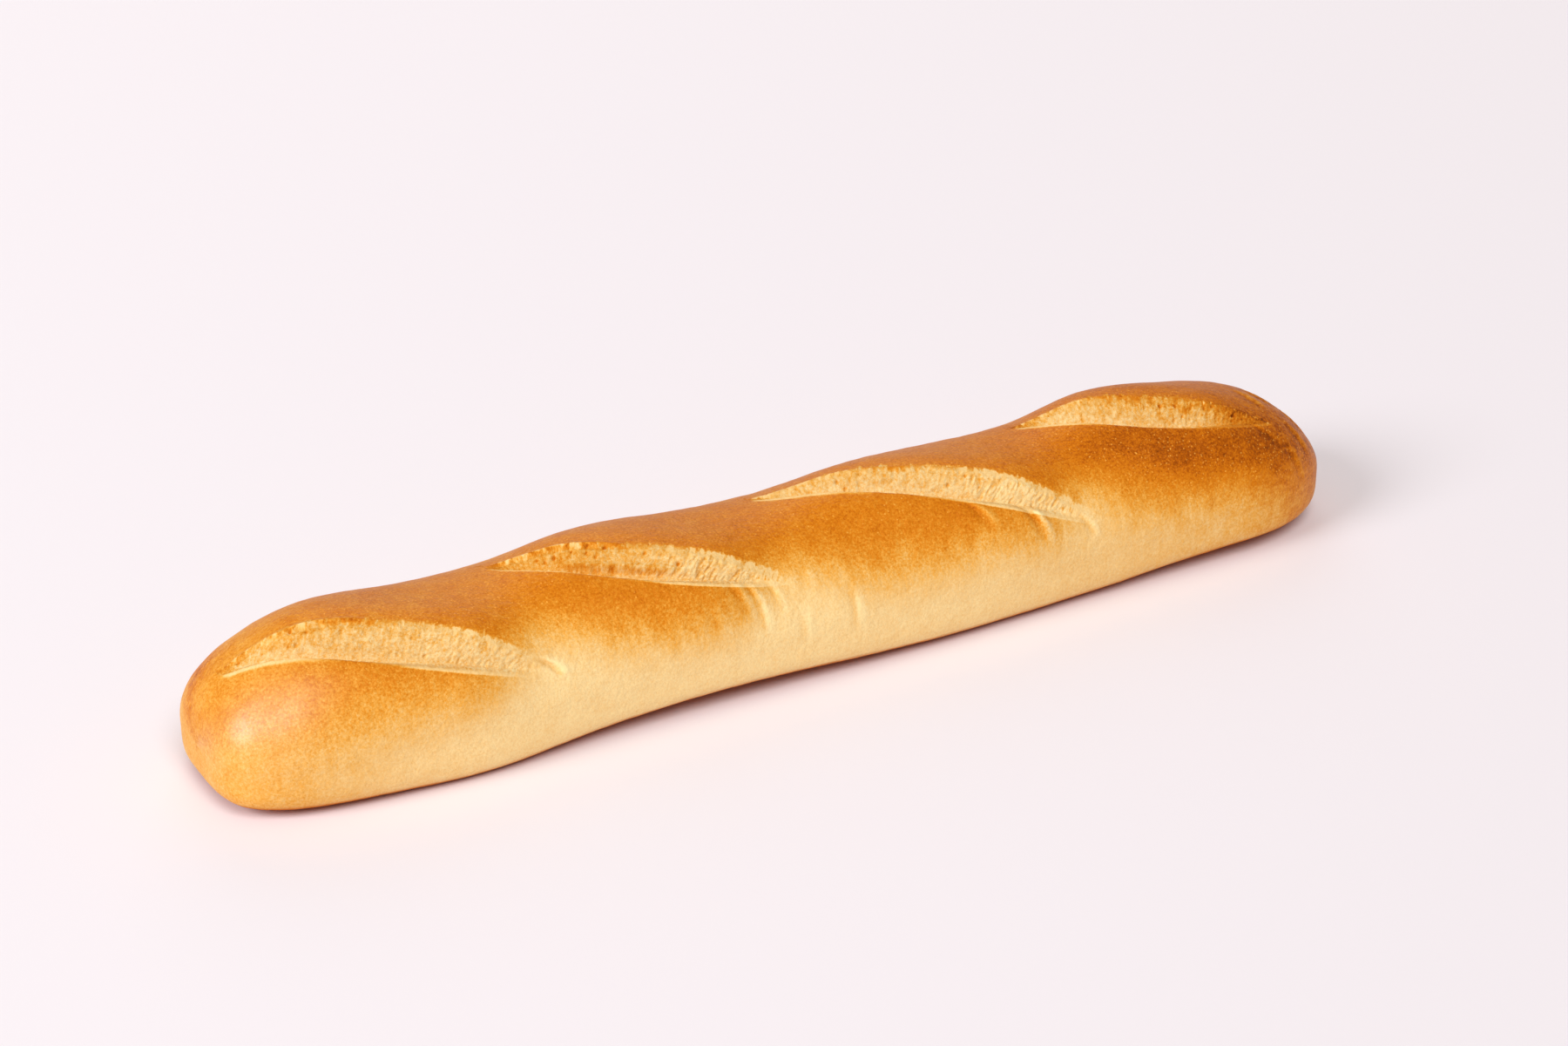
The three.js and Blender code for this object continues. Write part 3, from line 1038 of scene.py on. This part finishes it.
# painted light and shade on the crumb, following its speckled relief and crests, and a slightly
# darker tone overall
crumb_tone_and_painted_shading = speckle * 0.12 + crest * 0.03 - 0.05
tiny_light = easel.noise(place, TINY_SIZE, 2, 0.6) * TINY_STRENGTH
colour = easel.scale(colour, 1 + tiny_light + torn_share * crumb_tone_and_painted_shading)
base = finish_note("base")
colour = easel.blend(base, colour, BASE_COLOUR)
print(len(easel.tree.nodes), "nodes so far")

# %% [markdown]
# ## Sheen and the finest relief
#
# Browned crust has a satin sheen, and pale crust, crumb and base are duller. Relief
# this fine would cost too many faces, so a Bump node only tilts the light on it. A
# coat gives the gloss.

# %% Surface of the loaf
FINE_SIZE, FINE_HEIGHT = 0.8 * mm, 0.09 * mm
PEBBLE_SIZE, PEBBLE_HEIGHT = 2.2 * mm, 0.14 * mm
SPECKLE_HEIGHT, CLUMP_HEIGHT = 0.16 * mm, 0.2 * mm
SATIN, PALE_DULLNESS, CRUMB_DULLNESS, BASE_DULLNESS = 0.44, 0.18, 0.35, 0.5
GLOSS_BREAK = (-1.1, 0.3)

fine = easel.noise(place, FINE_SIZE, 2, 0.6)
crust_height = fine * FINE_HEIGHT + easel.noise(place, PEBBLE_SIZE, 1) * PEBBLE_HEIGHT
crumb_height = speckle * SPECKLE_HEIGHT + clumps * CLUMP_HEIGHT
surface_height = crust_height + (crumb_height - crust_height) * torn_share
bump_values = {"Height": surface_height, "Strength": 1.0, "Distance": 1.0}
roughness = SATIN + fine * 0.06 + torn_share * CRUMB_DULLNESS
roughness += easel.rise(even_bake, 0.5, 0.1) * PALE_DULLNESS + base * BASE_DULLNESS
surface_values = {
    "Base Color": colour,
    "Roughness": roughness,
    "Normal": easel.node("ShaderNodeBump", {}, bump_values),
    "Specular IOR Level": 0.25,
    "Specular Tint": (1.0, 0.6, 0.25, 1.0),
    "Coat Weight": finish_note("gloss") * easel.rise(fine, *GLOSS_BREAK),
    "Coat Roughness": 0.45,
    "Coat IOR": 1.9,
}
surface = easel.node("ShaderNodeBsdfPrincipled", {}, surface_values)
easel.node("ShaderNodeOutputMaterial", {}, {"Surface": surface})
print("finish with", len(easel.tree.nodes), "nodes")

# %% [markdown] ## The loaf with its relief, as one plain mesh  The tree is put on the
# rough skin as a modifier, and its inputs are set by their identifiers. The evaluated
# object then gives the finished shape as a plain mesh.

# %% The finished loaf
def put_in_scene(thing):
    bpy.context.scene.collection.objects.link(thing)
    return thing


rough_loaf = put_in_scene(bpy.data.objects.new("rough_loaf", loaf_mesh))
relief = rough_loaf.modifiers.new("relief", "NODES")
relief.node_group = relief_tree
inputs = {**RELIEF_SIZES, "Seed": RELIEF_SEED, "Finish": crust_finish}
for item in relief_tree.interface.items_tree:
    if item.in_out == "INPUT" and item.name in inputs:
        relief[item.identifier] = inputs[item.name]
bpy.context.view_layer.update()
relieved = rough_loaf.evaluated_get(bpy.context.evaluated_depsgraph_get())
finished_mesh = bpy.data.meshes.new_from_object(relieved)
loaf = put_in_scene(bpy.data.objects.new("loaf_skin", finished_mesh))
bpy.data.objects.remove(rough_loaf)
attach(loaf, "root")
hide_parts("loaf")
print("finished loaf:", len(finished_mesh.vertices), "corners")

# %% [markdown]
# ## The stage
#
# The loaf lies on a plain, pale and dull floor, which isn't part of the object: a single
# square, so large that its edges stay out of view.

# %% Floor
FLOOR_HALF_SIZE = 6.0
FLOOR_PAINT = {"Base Color": (0.905, 0.84, 0.862, 1), "Roughness": 0.9, "Specular IOR Level": 0.0}


def floor_sheet():
    half = FLOOR_HALF_SIZE
    corners = [(-half, -half, 0), (half, -half, 0), (half, half, 0), (-half, half, 0)]
    sheet = bpy.data.meshes.new("floor")
    sheet.from_pydata(corners, [], [(0, 1, 2, 3)])
    paint = bpy.data.materials.new("pale_floor")
    paint.use_nodes = True
    shader = paint.node_tree.nodes["Principled BSDF"]
    for name, value in FLOOR_PAINT.items():
        shader.inputs[name].default_value = value
    sheet.materials.append(paint)
    return bpy.data.objects.new("floor", sheet)


floor = put_in_scene(floor_sheet())
print("floor", 2 * FLOOR_HALF_SIZE, "m wide")

# %% [markdown]
# ## Light
#
# Broad soft light shows how round the loaf is. A wide sun above and in front gives the
# shape, a large cool lamp at the left reaches into the cuts, a weak one behind lights
# the far edge, and an even room the rest. The Standard view keeps the colours as mixed.

# %% Lights
def soft_light(name, kind, azimuth, elevation, distance=1.0, **settings):
    """A light aimed at the loaf; azimuth 0 is in front of it, + to the right."""
    light = bpy.data.lights.new(name, kind)
    for setting, value in settings.items():
        setattr(light, setting, value)
    across, upward = math.radians(azimuth), math.radians(elevation)
    level = math.cos(upward)
    toward = Vector((math.sin(across) * level, -math.cos(across) * level, math.sin(upward)))
    lamp = put_in_scene(bpy.data.objects.new(name, light))
    lamp.location = toward * distance
    lamp.rotation_euler = toward.to_track_quat("Z", "Y").to_euler()
    print(name, "at", azimuth, "degrees round and", elevation, "up")


soft_light("front_light", "SUN", azimuth=-14, elevation=54, angle=math.radians(34), energy=1.62)
soft_light("left_lamp", "AREA", azimuth=-85, elevation=32, distance=4.5,
           shape="DISK", size=2.2, energy=124, color=(0.96, 0.99, 1.03))
soft_light("back_lamp", "AREA", azimuth=158, elevation=33, distance=2.6,
           shape="DISK", size=1.7, energy=10)
room = bpy.data.worlds.new("even_room")
room.use_nodes = True
room_light = room.node_tree.nodes["Background"]
room_light.inputs["Color"].default_value = (1, 0.95, 0.91, 1)
room_light.inputs["Strength"].default_value = 0.25
bpy.context.scene.world = room
bpy.context.scene.view_settings.view_transform = "Standard"

# %% [markdown]
# ## The camera
#
# The camera looks down at the near left end with a long lens, which keeps the far end
# almost as large as the near one. It is placed by three directions of its own: back,
# right and up.

# %% Camera
AZIMUTH = math.radians(-29.5)
ELEVATION = math.radians(28)
DISTANCE = 1278 * mm
AIM_HEIGHT = 25 * mm
ASIDE, ABOVE = 1.1 * mm, -14.9 * mm
back = Vector((math.sin(AZIMUTH), -math.cos(AZIMUTH), math.tan(ELEVATION))).normalized()
right = Vector((math.cos(AZIMUTH), math.sin(AZIMUTH), 0))
upward = back.cross(right)
camera_data = bpy.data.cameras.new("camera")
camera_data.lens = 85
camera_data.sensor_width = 36
camera = put_in_scene(bpy.data.objects.new("camera", camera_data))
spot = Vector((0, 0, AIM_HEIGHT)) + back * DISTANCE - right * ASIDE - upward * ABOVE
camera.matrix_world = Matrix.Translation(spot) @ Matrix((right, upward, back)).transposed().to_4x4()
bpy.context.scene.camera = camera
print("camera at", [round(number, 3) for number in spot])
